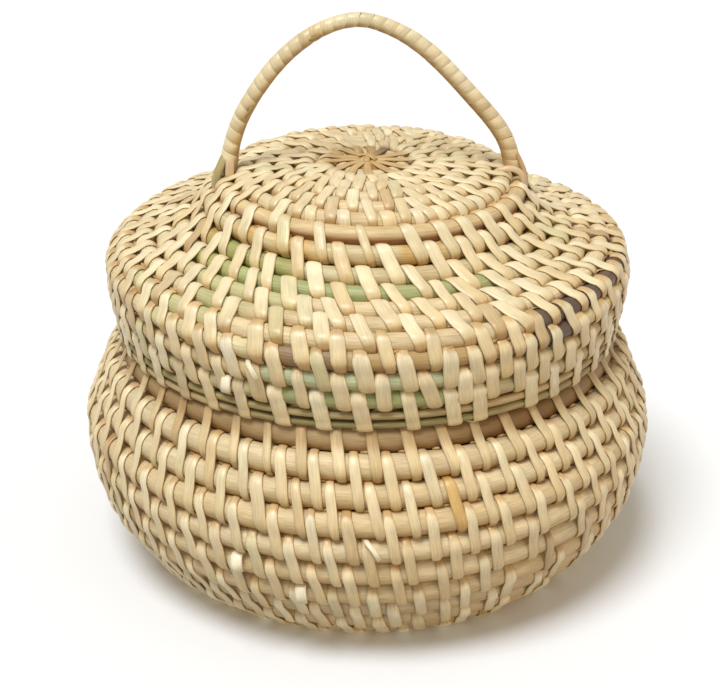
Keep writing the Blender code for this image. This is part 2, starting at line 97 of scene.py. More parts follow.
# How far a strip drifts from one row to the next: (distance from the axis, drift)
POT_LEAN = [(0.0, 0.0012), (0.100, 0.0015)]
LID_LEAN = [
    (0.0, 0.0012), (0.045, 0.0014), (0.056, 0.0024), (0.070, 0.0026), (0.083, 0.0015),
    (0.090, 0.0012),
]
POT_OFFSET = 0.34  # place of a new strip between two passing ones, as a share of the spacing
LID_OFFSET = 0.38
POT_INNERMOST = 1.6  # turn at which the pot's innermost strips start
RIDGE_BARE = 0.42  # from this share of its turn on, only new strips cross the ridge
# Spacing and width round the box, as (degrees to the right of the front, share of the above)
SPACING_ROUND = [(-180, 1.0), (-60, 0.90), (-25, 0.98), (20, 1.06), (60, 0.98), (180, 1.0)]
WIDTH_ROUND = [(-180, 0.92), (-60, 0.92), (-20, 1.0), (25, 1.0), (60, 0.90), (180, 0.92)]
STRIP_CLEARANCE = 0.33  # a new strip starts at least this share of the spacing off a passing one
EVENING_STRIPS = 3  # a strip's place also follows so many passing ones on each side
EVENING_SHARE = 0.5  # by this share
SLIDE_STRIPS = (2, 6)  # least and most strips over which one is gained or saved
SLIDE_PART = 6  # in between, one in so many of the turn's strips takes part
SLIDE_NEED = 0.6  # one is gained or saved where the turn has so many too few or too many
SLIDE_HASTE = 1.6  # and wherever it is if the need is so great
STRIP_ROOM = 0.93  # strips side by side are this far apart, as a share of their width
ROOM_ROUNDS = 60
ROOM_PUSH = 0.25  # each gives way by this share of the room that two lack
ROOM_PULL = 0.04  # and each end comes back by this share of the strain
PLACE_SPREAD = 0.0005
DRIFT_SPREAD = 0.0003
WIDTH_SPREAD = 0.09

# Loops over the collar and the mouth
MOUTH_LOOPS = 84
LOOP_WIDTH = 0.0042
LOOP_SPREAD = 0.06
LOOP_LEAN = 0.4  # to the side, as a share of their spacing
LOOP_SINK = 0.0004  # they press so far into the hoops

# The star's rays and its knot
STAR_RAYS = 12
STAR_PLUG = 0.0098  # radius of the dome that closes the first turn under the rays
STAR_PLUG_RISE = 0.25  # its height, as a share of that
RAY_THICKNESS = STRIP_THICKNESS * 0.8
RAY_START = 0.0007
RAY_REST = 0.0030  # from here on a ray lies level
RAY_STEP = 0.0002  # neighbouring rays start at levels so far apart
RAY_WIDTH = [(0.0, 0.0014), (0.003, 0.0023), (0.009, 0.0029), (0.018, 0.0034)]
PURPLE_RAY = math.radians(58)
PURPLE_PLACE = 0.0085
PURPLE_REACH = 0.005
KNOT_STRIPS = 3
KNOT_FIRST = 20  # degrees
KNOT_TURN = 62
KNOT_REACH = 0.0034
KNOT_WIDTH = 0.0021
KNOT_RISE = 0.0010
KNOT_STEP = 0.00035  # from each strip to the next
KNOT_FALL = 0.0013  # to a strip's ends

# Colours of strips and rods
STRIP_BRIGHT = np.array((0.91, 0.80, 0.545))
STRIP_WHITE = np.array((0.93, 0.84, 0.63))
STRIP_STRAW = np.array((0.82, 0.65, 0.38))
STRIP_TAN = np.array((0.56, 0.37, 0.17))
STRIP_GREEN = np.array((0.60, 0.62, 0.33))
STRIP_MUSTARD = np.array((0.74, 0.50, 0.20))
ROD_CREAM = np.array((0.82, 0.68, 0.43))
ROD_YELLOW = np.array((0.74, 0.56, 0.30))
ROD_OLIVE = np.array((0.34, 0.29, 0.11))
ROD_GREEN = np.array((0.40, 0.46, 0.19))
ROD_MINT = np.array((0.52, 0.60, 0.38))
ROD_OLIVE_GREEN = np.array((0.42, 0.42, 0.13))
ROD_OLIVE_LIGHT = np.array((0.58, 0.56, 0.28))
ROD_ORANGE = np.array((0.66, 0.42, 0.14))
ROD_BROWN = np.array((0.26, 0.15, 0.07))
ROD_PURPLE = np.array((0.070, 0.034, 0.032))
ROD_OCHRE = np.array((0.50, 0.33, 0.13))
# painted shadow: the seat rod is dark brown for the shade under the lid's rim
ROD_SEAT_SHADED = np.array((0.25, 0.125, 0.03))
STRAND_GREENISH = np.array((0.46, 0.39, 0.18))
STRAND_PALE = np.array((0.70, 0.52, 0.31))

# A strip's own colour: its usual level from straw (0) to bright (1), and chances of others
OUTER_LEVEL = 0.68
INNER_LEVEL = 0.48
WINDING_LEVEL = 0.53
LEVEL_SPREAD = 0.30
LEVEL_MOST = 1.1
TAN_CHANCE = 0.05
TAN_OR_GREEN_CHANCE = 0.09
TAN_SHARES = (0.3, 0.8)
GREEN_SHARES = (0.2, 0.5)
STRIP_LIGHTS = (0.93, 1.05)

# A rod's colour along its turns
TONES_PER_TURN = 9
YELLOW_SHARE = (0.35, 0.3)  # usual share and its spread
ROD_LIGHTS = (0.88, 1.08)
ZONE_EDGE = 0.006
ZONE_SHARE = 0.9
HOOP_JOIN = 0.1  # last share of a hoop, where its colour comes back to the first

# Stretches of rod with a colour of their own, as (first turn, last turn, colour)
LID_ZONES = [
    (7.36, 7.39, ROD_ORANGE),
    (7.41, 7.45, ROD_ORANGE),
    (7.53, 7.57, ROD_ORANGE),
    (7.61, 7.63, ROD_OCHRE),
    (8.30, 8.335, ROD_ORANGE),
    (8.335, 8.44, ROD_OLIVE_GREEN),
    (9.33, 9.38, ROD_OLIVE_GREEN),
    (9.38, 9.60, ROD_GREEN),
    (10.35, 10.45, ROD_OLIVE_LIGHT),
    (11.37, 11.42, ROD_OLIVE_LIGHT),
    (12.30, 12.41, ROD_OLIVE_LIGHT),
    (12.60, 12.74, ROD_PURPLE),
    (13.44, 13.49, ROD_BROWN),
    (13.49, 13.585, ROD_OCHRE),
    (13.585, 13.635, ROD_PURPLE),
    (14.44, 14.54, ROD_MINT),
    (15.43, 15.545, ROD_GREEN),
]
POT_ZONES = [(11.30, 11.36, ROD_OCHRE)]

# Strips with a colour of their own, by the turn they start at
LID_ODD_STRIPS = [(13.422, STRIP_WHITE)]
POT_ODD_STRIPS = [(14.553, STRIP_MUSTARD)]

# Cut ends that stick out over a row: (turn, width, how far they reach along the row)
LID_CUT_ENDS = [(15.417, 0.0034, 0.0010), (14.430, 0.0018, 0.0050)]
POT_CUT_ENDS = [(11.430, 0.0040, 0.0014), (10.464, 0.0036, 0.0010), (12.497, 0.0018, 0.0050)]
# Their course, as (way up, way out) in shares of the rod's radius
CUT_END_COURSE = [(0.9, 0.2), (0.8, 0.9), (0.5, 1.15), (0.0, 1.3)]

# Painted shade: what is left of a colour lower down a strip and in gaps, a painted shadow on the seat
# under the lid's rim, painted shade on the handle's inside, and darker towards the middle of a star
LOWER_DOWN_SHADE = (0.82, 0.73, 0.56)
LOWER_SHARE = 0.8  # at the lower rod
UPWARD_SPARED = 0.7  # less of it where the wall faces up
GAP_SHADE = (0.74, 0.60, 0.44)
GAP_START = 0.86  # from a strip's middle, in spans between its rods
GAP_BLEND = 0.10
STAR_DARKENING = (0.70, 0.56, 0.38)
STAR_REACH = 0.0150
STAR_EDGE = 0.003
SEAT_PAINTED_SHADOW = (0.62, 0.50, 0.36)
SEAT_PAINTED_SHADOW_START = 0.7
HANDLE_INSIDE_SHADE = (0.50, 0.32, 0.16)
# Painted shade on the underside of a rod, and a painted shadow under the ridge: what is left, how far up
# it reaches, how sharp its edge is
PLAIN_UNDERSIDE_SHADE = ((0.79, 0.64, 0.44), 0.15, 1.4)
RIDGE_UNDERSIDE_SHADOW = ((0.38, 0.20, 0.08), 0.46, 3.0)

# Handle: its path as (distance from the axis, height above the rim's edge), as in the model, and
# (share of its length, outer radius)
HANDLE_PATH = [
    (-0.0450, 0.0655), (-0.0395, 0.0780), (-0.0294, 0.0917), (-0.0172, 0.1014), (-0.0045, 0.1054),
    (0.0072, 0.1027), (0.0195, 0.0949), (0.0332, 0.0808), (0.0457, 0.0651),
]
HANDLE_TURN = math.radians(3.0)
HANDLE_RADIUS = [
    (0.0, 0.0033), (0.05, 0.0031), (0.09, 0.0027), (0.35, 0.0026), (0.45, 0.0023), (0.52, 0.0024),
    (0.6, 0.0027), (0.8, 0.0029), (0.94, 0.0029), (1.0, 0.0034),
]
HANDLE_TONE = (0.96, 0.97, 0.96)
CORE_RADIUS = 0.0017
CORE_INSET = 0.001
CORE_POINTS = 160
CORE_STAIN_REACH = 0.016  # brown so far from its ends
CORE_STAIN_EDGE = 0.006
WINDING_PITCH = 0.0041
WINDING_STEPS = 22
WINDING_THICKNESS = 0.0004
WINDING_ENDS = (0.0072, 0.0060)  # how far from the rod's ends the winding starts and ends
WINDING_ROUGHNESS = 0.00005
WINDING_OVERLAP = 1.01

# Marks on the winding: (place, reach, colour, share of that colour)
HANDLE_MARKS = [
    ((-0.0415, -0.0049, 0.1541), 0.0018, ROD_ORANGE * 0.8, 0.9),
    ((-0.0435, -0.0051, 0.1475), 0.0032, ROD_ORANGE, 0.45),
    ((-0.0390, -0.0044, 0.1573), 0.0026, ROD_OCHRE, 0.7),
    ((-0.0169, -0.0033, 0.1816), 0.0034, ROD_ORANGE, 0.6),
    ((0.0499, 0.0000, 0.1409), 0.0050, ROD_ORANGE, 0.45),
]
# Ends of the winding that stand out on its inner side: (place, way they face, way they run)
HANDLE_BUMPS = [
    ((-0.0169, -0.0034, 0.1814), (0.4, -0.8, -0.6), (0.8, 0.0, 0.6)),
    ((-0.0388, -0.0045, 0.1570), (0.8, -0.6, -0.2), (0.35, 0.0, 0.9)),
]
BUMP_BACK = 0.0026
BUMP_AHEAD = 0.0018
BUMP_SINK = 0.0008
BUMP_WIDTH = 0.0024
# Loose strands that tie the handle's ends down: (points, way it faces at both ends, width, colour)
HANDLE_STRANDS = {
    "handle_left_lashing": [
        (
            [
                (-0.0477, -0.0036, 0.1420), (-0.0487, -0.0047, 0.1400), (-0.0496, -0.0054, 0.1381),
                (-0.0505, -0.0059, 0.1361), (-0.0512, -0.0063, 0.1335), (-0.0516, -0.0066, 0.1305),
            ],
            ((-0.3, -0.95, 0.1), (-0.4, -0.85, 0.3)),
            0.0030, STRAND_GREENISH,
        ),
        (
            [
                (-0.0460, -0.0046, 0.1412), (-0.0461, -0.0059, 0.1391), (-0.0462, -0.0064, 0.1371),
                (-0.0463, -0.0065, 0.1354), (-0.0464, -0.0058, 0.1338),
            ],
            ((0.1, -1.0, 0.1), (0.1, -0.9, 0.3)),
            0.0030, STRAND_PALE,
        ),
    ],
    "handle_right_lashing": [
        (
            [
                (0.0500, 0.0008, 0.1414), (0.0514, 0.0002, 0.1386), (0.0525, -0.0006, 0.1364),
                (0.0532, -0.0018, 0.1341), (0.0533, -0.0034, 0.1311), (0.0531, -0.0036, 0.1290),
            ],
            ((0.5, -0.85, 0.1), (0.5, -0.8, 0.3)),
            0.0017, STRIP_TAN,
        ),
        (
            [
                (0.0436, -0.0040, 0.1368), (0.0466, -0.0044, 0.1374), (0.0493, -0.0043, 0.1370),
                (0.0514, -0.0043, 0.1356), (0.0525, -0.0044, 0.1334), (0.0530, -0.0046, 0.1305),
            ],
            ((0.0, -0.6, 0.8), (0.5, -0.7, 0.5)),
            0.0024, STRAND_PALE,
        ),
    ],
}
STRAND_THICKNESS = 0.0010

# Studio
KEY_STRENGTH = 2.45
KEY_SPREAD = math.radians(26)
FILL_POWER = 2.0
FILL_COLOUR = (1.0, 0.66, 0.38)
WORLD_STRENGTH = 0.50
WORLD_COLOUR = (1.0, 0.93, 0.79, 1.0)
FLOOR_COLOUR = (0.86, 0.89, 0.94, 1.0)

rng = np.random.default_rng(11)


def smooth(share):
    share = min(max(share, 0.0), 1.0)
    return share * share * (3 - 2 * share)


def read(table, value):
    """A value read from a short list of (place, value)."""
    return float(np.interp(value, *zip(*table)))


def mix(a, b, share):
    return a + (b - a) * share


def distances(places):
    """How far along the line through these places each of them is."""
    return np.concatenate([[0.0], np.cumsum(np.linalg.norm(np.diff(places, axis=0), axis=1))])


def between(where, places, table):
    """The rows of a table, each of which has a place, read at and between those places."""
    return np.stack([np.interp(where, places, column) for column in table.T], axis=-1)


def smooth_path(points, steps):
    """A Catmull-Rom curve through the points."""
    given = np.array(points, float)
    padded = np.vstack([2 * given[0] - given[1], given, 2 * given[-1] - given[-2]])
    found = []
    for i in range(1, len(padded) - 2):
        before, start, end, after = padded[i - 1 : i + 3]
        for t in np.arange(steps) / steps:
            squared = (2 * before - 5 * start + 4 * end - after) * t**2
            cubed = (3 * start - before - 3 * end + after) * t**3
            found.append(0.5 * (2 * start + (end - before) * t + squared + cubed))
    found.append(given[-1])
    return np.array(found)


class Outline:
    """A smooth wall, measured along the line of its coils' middles."""

    def __init__(self, points, coil_radius, lift=0.0, upward=1.0):
        outer = smooth_path([(r, z + lift) for r, z in points], OUTLINE_STEPS)
        step = unit(np.gradient(outer, axis=0))
        self.upward = upward
        self.normals = np.stack([step[:, 1], -step[:, 0]], axis=1) * upward
        self.middles = outer - self.normals * coil_radius
        self.coil_radius = coil_radius
        self.lengths = distances(self.middles)

    def middle(self, length, radius):
        """The middle of a coil of this radius whose outer side lies flush in the wall."""
        outward = between(length, self.lengths, self.normals)
        return between(length, self.lengths, self.middles) + outward * (self.coil_radius - radius)

    def length_at_radius(self, distance):
        outer = self.middles[:, 0] + self.normals[:, 0] * self.coil_radius
        return float(self.lengths[int(np.argmax(outer >= distance))])

    def length_at_height(self, height):
        widest = int(np.argmax(self.middles[:, 0]))
        heights = self.middles[widest:, 1] * self.upward
        return float(np.interp(height * self.upward, heights, self.lengths[widest:]))


class Rows:
    """The rows of one coil, and the hoops that follow its last row."""

    def __init__(self, outline, pitch, start, last_edge, hoops, down):
        self.outline = outline
        self.start = start
        self.last_edge = last_edge
        self.last_turn = round((last_edge - start) / pitch)
        self.pitch = (last_edge - start) / self.last_turn
        self.hoops = hoops
        self.down = down  # 1 where later turns lie further down the wall, else -1
        self.join = self.last_turn - CLIMB_SHARE / 2

    def edge(self, turn):
        count = turn + 0.5
        nearest = math.floor(turn + 0.5)
        climb = smooth((turn - nearest) / CLIMB_SHARE + 0.5)
        share = (turn - self.last_turn + LEVELLING_TURNS + 0.5) / LEVELLING_TURNS
        share = min(max(share, 0.0), 1.0)
        count = count + share * (nearest + climb - count)
        return min(self.start + self.pitch * count, self.last_edge)

    def row(self, turn):
        """(middle of the rod as (distance, height), radius of the rod)."""
        outer, inner = self.edge(turn), self.edge(turn - 1)
        radius = max((outer - inner - TURN_GAP) / 2, TAPER_TIP)
        middle = self.outline.middle((outer + inner) / 2, radius + STRIP_STAND)
        return middle, radius + ROD_SWELL

    def end(self):
        """The turn count at which the last rod is shaved to a tip."""
        turn = self.join
        while self.edge(turn) - self.edge(turn - 1) - TURN_GAP > 2 * TAPER_TIP:
            turn += 1 / ROD_POINTS_PER_TURN
        return turn

    def rods(self, turn):
        """What a strip lies on here: one rod of the coil, or the hoops past its end."""
        if turn <= self.join:
            return [self.row(turn)]
        share = smooth((turn - self.join) / CLIMB_SHARE)
        middle, radius = self.row(self.join)
        return [(mix(middle, place, share), mix(radius, size, share)) for place, size in self.hoops]


def add_object(name, data):
    """A new object in the scene, made from a mesh, a light or a camera."""
    made = bpy.data.objects.new(name, data)
    bpy.context.scene.collection.objects.link(made)
    return made


class Bundle:
    """Gathers swept pieces into one mesh, with a tint and a grain at each point."""

    def __init__(self):
        self.places, self.quads, self.tints, self.grains = [], [], [], []
        self.count = 0

    def sweep(self, rings, tints, grains, closed=False):
        """Rings run counterclockwise about the way ahead, each with an even number of points."""
        rings = np.asarray(rings)
        rows, sides = rings.shape[:2]
        index = np.arange(rows * sides).reshape(rows, sides) + self.count
        after = np.roll(index, -1, axis=1)
        body = np.stack([index[:-1], after[:-1], after[1:], index[1:]], axis=-1).reshape(-1, 4)
        self.quads.append(body)
        if closed:
            a, b = index[-1], index[0]
            seam = np.stack([a, np.roll(a, -1), np.roll(b, -1), b], axis=-1)
            self.quads.append(seam)
        else:
            caps = []
            for j in range(sides // 2 - 1):
                order = [j, j + 1, sides - 2 - j, sides - 1 - j]
                caps.append(index[-1][order])
                caps.append(index[0][order[::-1]])
            self.quads.append(np.array(caps))
        self.places.append(rings.reshape(-1, 3))
        self.tints.append(np.broadcast_to(tints, rings.shape).reshape(-1, 3))
        self.grains.append(np.broadcast_to(grains, rings.shape).reshape(-1, 3))
        self.count += rows * sides

    def darkening(self, share_at, left):
        """Darkens what was gathered, by a share that is worked out from the places."""
        for i, places in enumerate(self.places):
            share = np.clip(share_at(places), 0.0, 1.0)[:, None]
            self.tints[i] = self.tints[i] * mix(1.0, np.array(left), share)

    def make(self, name, look, nodes=()):
        """Turns what was gathered into a piece. Its look is (material, body it rides on, slot); the slot
        is not used.
        """
        material, body, slot = look
        places = np.concatenate(self.places)
        places[:, 2] = np.maximum(places[:, 2], GROUND)
        quads = np.concatenate(self.quads)
        mesh = bpy.data.meshes.new(name)
        mesh.vertices.add(len(places))
        mesh.vertices.foreach_set("co", places.astype(np.float32).ravel())
        mesh.loops.add(4 * len(quads))
        mesh.loops.foreach_set("vertex_index", quads.astype(np.int32).ravel())
        mesh.polygons.add(len(quads))
        mesh.polygons.foreach_set("loop_start", np.arange(0, 4 * len(quads), 4, dtype=np.int32))
        mesh.update(calc_edges=True)
        mesh.validate()
        tint = mesh.attributes.new("tint", "FLOAT_COLOR", "POINT")
        colours = np.concatenate([np.concatenate(self.tints), np.ones((len(places), 1))], axis=1)
        tint.data.foreach_set("color", colours.astype(np.float32).ravel())
        grain = mesh.attributes.new("grain", "FLOAT_VECTOR", "POINT")
        grain.data.foreach_set("vector", np.concatenate(self.grains).astype(np.float32).ravel())
        mesh.shade_smooth()
        mesh.materials.append(material)
        made = add_object(name, mesh)
        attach(made, body)
        if nodes:
            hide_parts(*nodes)


def unit(vectors):
    return vectors / np.linalg.norm(vectors, axis=-1, keepdims=True)


def angle_of(turn):
    return START_ANGLE + 2 * math.pi * turn


def from_front(turn):
    """Degrees to the right of the front, from -180 to 180."""
    return (turn % 1 - 0.5) * 360


def shortest(angle):
    """The same angle, from minus half a turn to half a turn."""
    return math.remainder(angle, 2 * math.pi)


def spun(places, angles):
    """(distance, height) turned about the axis by these angles."""
    distance, height = np.asarray(places).T
    return np.stack([distance * np.cos(angles), distance * np.sin(angles), height], axis=1)


# A strip's section, in half widths across and in thicknesses up, counterclockwise
STRIP_SECTION = np.array(
    [
        (-0.80, -0.50), (0.80, -0.50), (1.00, -0.22), (0.86, 0.14), (0.50, 0.42), (0.00, 0.50),
        (-0.50, 0.42), (-0.86, 0.14), (-1.00, -0.22), (-0.92, -0.44),
    ]
)
PLAIN_SECTION = np.array(
    [(-0.9, -0.5), (0.9, -0.5), (1.0, 0.0), (0.5, 0.5), (-0.5, 0.5), (-1.0, 0.0)]
)
FLAT_SECTION = np.array(
    [(-0.98, -0.5), (0.98, -0.5), (1.0, 0.1), (0.93, 0.5), (-0.93, 0.5), (-1.0, 0.1)]
)


def grain_of(across, line, seed):
    """The fibres' coordinates: millimetres across a piece and along its line, and its seed."""
    along = np.broadcast_to(distances(line)[:, None], across.shape)
    return np.stack([across * 1000, along * 1000, np.full(across.shape, seed)], axis=-1)


def sweep_strip(bundle, centres, outward, widths, thickness, tints, seed, section=STRIP_SECTION):
    """A flat strip along its centre line, in one colour or with one for each point of the line."""
    ahead = unit(np.gradient(centres, axis=0))
    outward = unit(outward - ahead * np.sum(outward * ahead, axis=1)[:, None])
    across = np.cross(outward, ahead)
    widths = np.broadcast_to(widths, len(centres))
    x = section[None, :, 0] * widths[:, None] / 2
    y = section[None, :, 1] * thickness
    rings = centres[:, None] + across[:, None] * x[..., None] + outward[:, None] * y[..., None]
    bundle.sweep(rings, np.atleast_2d(tints)[:, None, :], grain_of(x, centres, seed))


def over(rods, side, top_reach=TUCK, steps=OUTER_STEPS, last=None):
    """The middle line of a strip that lies over rods, which are given from top to bottom.

    Returns its points and normals as (distance, height), and how far along it is, where 0 is
    beside the first rod's middle and 1 beside the last one's. It ends at the rod whose count
    is given as the last."""
    arc_steps, bridge_steps = steps
    half = STRIP_THICKNESS / 2
    middles = [middle for middle, _ in rods]
    radii = [radius + half for _, radius in rods]
    points, normals = [], []
    last = len(rods) - 1 if last is None else last
    for i in range(len(rods) - 1):
        up = unit(middles[i] - middles[i + 1])
        out = np.array((up[1], -up[0])) * side
        if i == 0 and top_reach:
            for angle in np.linspace(top_reach, 0.0, arc_steps, endpoint=False):
                normal = out * math.cos(angle) + up * math.sin(angle)
                points.append(middles[0] + normal * radii[0])
                normals.append(normal)
        if i == last:
            break
        start = middles[i] + out * radii[i]
        end = middles[i + 1] + out * radii[i + 1]
        for share in np.linspace(0.0, 1.0, bridge_steps + 2)[:-1]:
            dip = BRIDGE_DIP * 4 * share * (1 - share)
            points.append(mix(start, end, share) - out * dip)
            normals.append(out)
    for angle in np.linspace(0.0, TUCK, arc_steps + 1):
        normal = out * math.cos(angle) - up * math.sin(angle)
        points.append(middles[last] + normal * radii[last])
        normals.append(normal)
    points, normals = np.array(points), np.array(normals)
    line = middles[-1] - middles[0]
    shares = (points - middles[0]) @ line / (line @ line)
    return points, normals, shares


def weave(rows, first, last, spacing, lean, offset, widths, count=None):
    """The (upper, lower) turns of all strips of a wall, in order down the wall.

    Each new strip starts between two that pass over from the row above. Where the wall gets
    wider or narrower, a few strips in a row start a little sooner or later each, until one
    strip is gained or saved."""
    down = rows.down
    share = offset if down > 0 else 1 - offset

    def distance(place):
        return rows.rods(down * place)[0][0][0]

    def around(place):
        return 2 * math.pi * distance(place)

    made, passing = [], []

    def add(place):
        drift = down * read(lean, distance(place)) + rng.normal() * DRIFT_SPREAD
        lower = place + 1 + drift / around(place)
        made.append((place, lower))
        passing.append(lower)

    count = count or round(around(first) / read(spacing, down * first))
    for i in range(count):
        add(first + i / count)
    at = share
    slide, gain, spread = 0, 0, SLIDE_STRIPS[1]
    while True:
        index = math.floor(at)
        near = range(max(index - EVENING_STRIPS, 0), index + EVENING_STRIPS + 2)
        slope, base = np.polyfit(near, [passing[i] for i in near], 1)
        place = mix(passing[index], passing[index + 1], at - index)
        place = mix(place, base + slope * at, EVENING_SHARE)
        place += rng.normal() * PLACE_SPREAD / around(place)
        reach = (passing[index + 1] - passing[index]) * STRIP_CLEARANCE
        place = min(max(place, passing[index] + reach), passing[index + 1] - reach)
        if place > last:
            break
        add(place)
        if slide == 0:
            present = len(passing) - 1 - at + share
            wanted = read(spacing, down * place)
            lack = around(place) / wanted - present
            local_share = read(SPACING_ROUND, from_front(down * place))
            local = slope * around(place) / wanted / local_share - 1
            due = abs(lack) > SLIDE_HASTE or abs(lack) > SLIDE_NEED and lack * local > 0
            gain = int(math.copysign(1, lack)) if due else 0
            spread = min(max(round(present / SLIDE_PART), SLIDE_STRIPS[0]), SLIDE_STRIPS[1])
            slide = spread * abs(gain)
        at += 1 - gain / spread
        slide = max(slide - 1, 0)
    needed = [read(widths, down * place) * STRIP_ROOM / around(place) for place, _ in made]
    made = make_room(np.array(made), np.array(needed))
    return [(down * upper, down * lower) for upper, lower in made]


def make_room(pairs, needed):
    """Pushes strips apart where a starting one and a passing one would lie on each other."""
    count = len(pairs)
    marks = pairs.T.ravel().copy()
    room = np.tile(needed, 2)
    drifts = pairs[:, 1] - pairs[:, 0]
    for _ in range(ROOM_ROUNDS):
        order = np.argsort(marks)
        line = marks[order]
        lack = np.maximum((room[order][1:] + room[order][:-1]) / 2 - np.diff(line), 0)
        line[1:] += lack * ROOM_PUSH
        line[:-1] -= lack * ROOM_PUSH
        marks[order] = line
        strain = (marks[count:] - marks[:count] - drifts) * ROOM_PULL
        marks[:count] += strain
        marks[count:] -= strain
    return marks.reshape(2, count).T


def strip_tint(level=OUTER_LEVEL):
    """A strip's own colour: mostly bright cream, some straw, a few tan or greenish."""
    bright = min(max(rng.normal(level, LEVEL_SPREAD), 0.0), LEVEL_MOST)
    tint = mix(STRIP_STRAW, STRIP_BRIGHT, bright)
    chance = rng.random()
    if chance < TAN_CHANCE:
        tint = mix(tint, STRIP_TAN, rng.uniform(*TAN_SHARES))
    elif chance < TAN_OR_GREEN_CHANCE:
        tint = mix(tint, STRIP_GREEN, rng.uniform(*GREEN_SHARES))
    return tint * rng.uniform(*STRIP_LIGHTS)


def shaded(tint, shares, upward):
    """The colour along a strip, with painted shade: bright where it comes out, browner lower down and
    darker in the gaps. Less shade is painted where the wall faces up."""
    spared = UPWARD_SPARED * np.clip(upward, 0, 1)
    lower = (np.clip(shares, 0.0, 1.2) * (1 - spared))[:, None]
    deep = np.clip((np.abs(shares - 0.5) - GAP_START) / GAP_BLEND, 0.0, 1.0)[:, None]
    tint = np.asarray(tint)[None]
    toned = mix(tint, tint * LOWER_DOWN_SHADE, lower * LOWER_SHARE)
    return mix(toned, toned * GAP_SHADE, deep)


def stitch(bundle, rods, first_angle, last_angle, width, side, tint, last=None):
    """One strip over some rods, on the outer side (1) or the inner side (-1) of the wall."""
    steps, section = (OUTER_STEPS, STRIP_SECTION) if side > 0 else (INNER_STEPS, PLAIN_SECTION)
    points, normals, shares = over(rods, side, steps=steps, last=last)
    angles = first_angle + (last_angle - first_angle) * shares
    centres = spun(points, angles)
    outward = spun(normals, angles)
    squeeze = np.clip((np.abs(shares - 0.5) - SQUEEZE_START) / SQUEEZE_BLEND, 0.0, 1.0)
    widths = width * (1 - SQUEEZE * squeeze)
    # painted shade: browner lower down the strip, darker in its gaps
    tints = shaded(tint, shares, normals[:, 1])
    seed = rng.uniform(0, 90)
    sweep_strip(bundle, centres, outward, widths, STRIP_THICKNESS, tints, seed, section)


def rod(bundle, places, radii, tints, seed, grooves=GROOVES, closed=False, level=None, darkening=PLAIN_UNDERSIDE_SHADE):
    """A rod along points, with shallow grooves along it. The last argument is the painted shade on its
    underside: what is left of its colour there, how far up it reaches, and how sharp its edge is."""
    places = np.asarray(places, float)
    if closed:
        ahead = unit(np.roll(places, -1, axis=0) - np.roll(places, 1, axis=0))
    else:
        ahead = unit(np.gradient(places, axis=0))
    radial = unit(places * (1, 1, 0)) if level is None else np.broadcast_to(level, places.shape)
    across = unit(np.cross(ahead, radial))
    up = np.cross(ahead, across)
    angles = np.linspace(0, 2 * math.pi, ROD_SIDES, endpoint=False)
    length = len(places)
    knots = max(4, length // GROOVE_POINTS)
    rough = rng.normal(0, grooves, (knots, ROD_SIDES))
    if closed:
        rough[-1] = rough[0]
    at = np.linspace(0, knots - 1, length)
    waves = between(at, np.arange(knots), rough)
    size = np.asarray(radii)[:, None] * (1 + waves - grooves)
    across_part = across[:, None] * np.cos(angles)[None, :, None]
    up_part = up[:, None] * np.sin(angles)[None, :, None]
    rings = places[:, None] + size[..., None] * (across_part + up_part)
    around = np.broadcast_to(angles[None] * np.mean(radii), size.shape)
    # painted shade on the underside, where less light falls
    left, height, sharpness = darkening
    shade_share = np.clip((height - (across_part + up_part)[..., 2:]) * sharpness, 0, 1)
    toned = np.asarray(tints)[:, None, :] * mix(1.0, np.array(left), shade_share)
    bundle.sweep(rings, toned, grain_of(around, places, seed), closed)


def rod_tints(turns, base, zones=()):
    """The colour of a rod along its turns, which changes a little now and then."""
    knots = int((turns[-1] - turns[0]) * TONES_PER_TURN) + 3
    at = np.linspace(0, knots - 1, len(turns))
    share = np.interp(at, np.arange(knots), rng.normal(*YELLOW_SHARE, knots))
    light = np.interp(at, np.arange(knots), rng.uniform(*ROD_LIGHTS, knots))
    tints = mix(base, ROD_YELLOW, np.clip(share, 0, 1)[:, None]) * light[:, None]
    for first, last, colour in zones:
        inside = np.clip(np.minimum(turns - first, last - turns) / ZONE_EDGE + 0.5, 0, 1)
        tints = mix(tints, colour * light[:, None], inside[:, None] * ZONE_SHARE)
    return tints


def coil_rod(name, rows, first, last, base, zones, look, darkening=PLAIN_UNDERSIDE_SHADE):
    """The rod of one of the model's canes, which may be cut short by the coil's own end."""
    last = min(last, rows.end())
    count = max(4, int((last - first) * ROD_POINTS_PER_TURN))
    turns = np.linspace(first, last, count)
    found = [rows.row(turn) for turn in turns]
    places = spun([middle for middle, _ in found], angle_of(turns))
    bundle = Bundle()
    tints = rod_tints(turns, base, zones)
    rod(bundle, places, [radius for _, radius in found], tints, rng.uniform(0, 90), darkening=darkening)
    bundle.make(name + "_rod", look, [name + "_cane"])


def hoop_rod(name, place, radius, base, look, grooves=GROOVES):
    """The rod of one of the model's level hoops."""
    turns = np.linspace(0, 1, ROD_POINTS_PER_TURN * 2, endpoint=False)
    places = spun([place] * len(turns), angle_of(turns))
    tints = rod_tints(turns, base)
    blend = np.clip((turns - (1 - HOOP_JOIN)) / HOOP_JOIN, 0, 1)[:, None]
    tints = mix(tints, tints[0], blend)
    bundle = Bundle()
    rod(bundle, places, [radius] * len(turns), tints, rng.uniform(0, 90), grooves, closed=True)
    bundle.make(name + "_rod", look, [name + "_hoop"])


def set_inputs(node, values):
    """Sets constants directly on a node's own sockets, by their names."""
    for name, value in values.items():
        node.inputs[name].default_value = value


